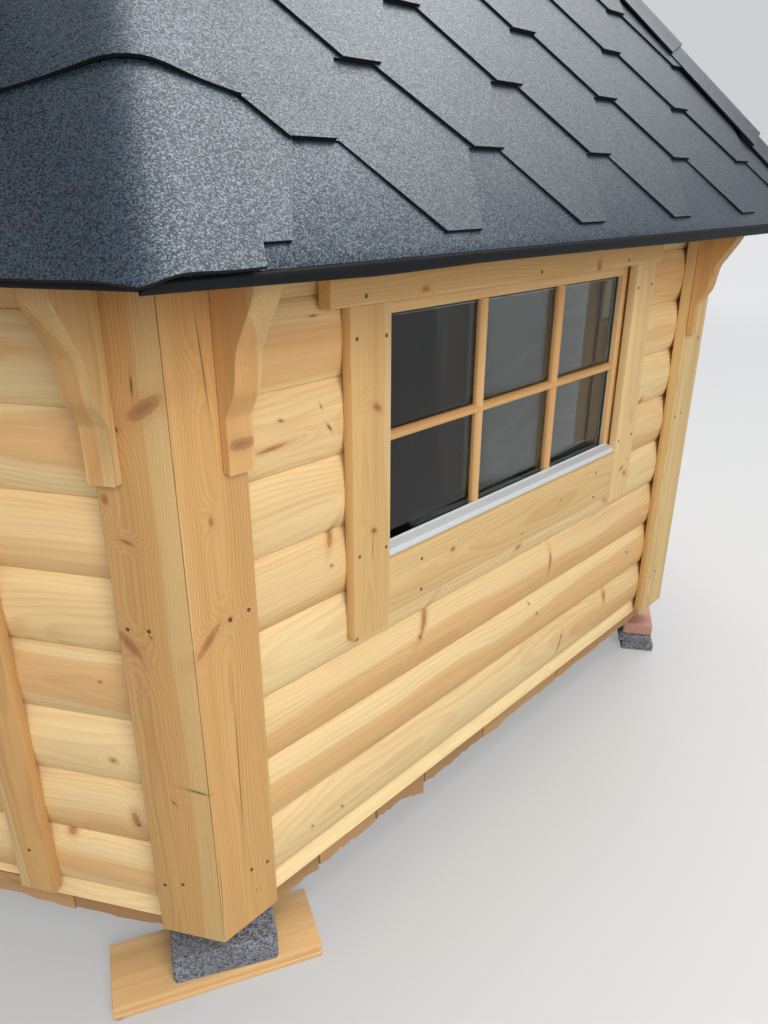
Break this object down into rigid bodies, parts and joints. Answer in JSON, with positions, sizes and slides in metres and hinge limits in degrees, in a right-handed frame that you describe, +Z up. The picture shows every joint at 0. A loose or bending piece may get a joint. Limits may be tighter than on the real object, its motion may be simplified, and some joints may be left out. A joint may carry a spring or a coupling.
{
  "type": "grill hut",
  "caption": "Six-sided log hut with a steep shingled roof, corner boards, curved eaves brackets, casement windows, a hinged door under a small dormer and a raised smoke hat.",
  "frame": {"origin": "on the ground under the middle of the hut", "axes": "+Z up, the door wall faces -Y, +X to the right of someone who faces the door"},
  "size_m": [4.0162, 3.4786, 3.4537],
  "materials": {
    "log_wood": "planed bare softwood",
    "board_wood": "planed bare softwood",
    "rough_wood": "sawn softwood",
    "glass": "clear double pane",
    "aluminium": "satin",
    "shingle": "granules on bitumen felt",
    "drip_edge": "glossy bitumen felt",
    "hinge_steel": "matt black",
    "concrete": "grey concrete",
    "brick": "fired clay"
  },
  "bodies": {
    "hut": {"back_roof_boards": "board_wood", "back_wall": "log_wood", "corner_boards": "board_wood", "door_casings": "board_wood", "door_frame": "board_wood", "dormer_cheeks": "board_wood", "dormer_gable": "board_wood", "dormer_roof_boards": "board_wood", "dormer_shingles": "shingle", "drip_edges": "drip_edge", "eaves_brackets": "board_wood", "floor_boards": "rough_wood", "floor_joists": "rough_wood", "floor_rim": "rough_wood", "front_roof_boards": "board_wood", "front_wall_left": "log_wood", "front_wall_right": "log_wood", "hinge_pins": "hinge_steel", "left_back_roof_boards": "board_wood", "left_back_wall": "log_wood", "left_front_roof_boards": "board_wood", "left_front_wall": "log_wood", "lower_support_slabs": "concrete", "near_support_board": "rough_wood", "near_support_paver": "concrete", "right_back_roof_boards": "board_wood", "right_back_wall": "log_wood", "right_front_roof_boards": "board_wood", "right_front_wall": "log_wood", "roof_shingles": "shingle", "smoke_collar": "board_wood", "smoke_hat": "board_wood", "smoke_hat_posts": "board_wood", "support_bricks": "brick", "upper_support_slabs": "concrete", "window_casings": "board_wood", "window_frames": "board_wood", "window_panes": "glass", "window_sills": "aluminium"},
    "door": {"door_logs": "log_wood", "door_battens": "board_wood", "door_handle": "board_wood", "hinge_straps": "hinge_steel"}
  },
  "joints": [
    {"name": "door_hinge", "type": "hinge", "parent": "hut", "child": "door", "pos_m": [-0.448, -1.51325, 0.9], "axis": [0, 0, -1], "range_deg": [0, 100]}
  ]
}
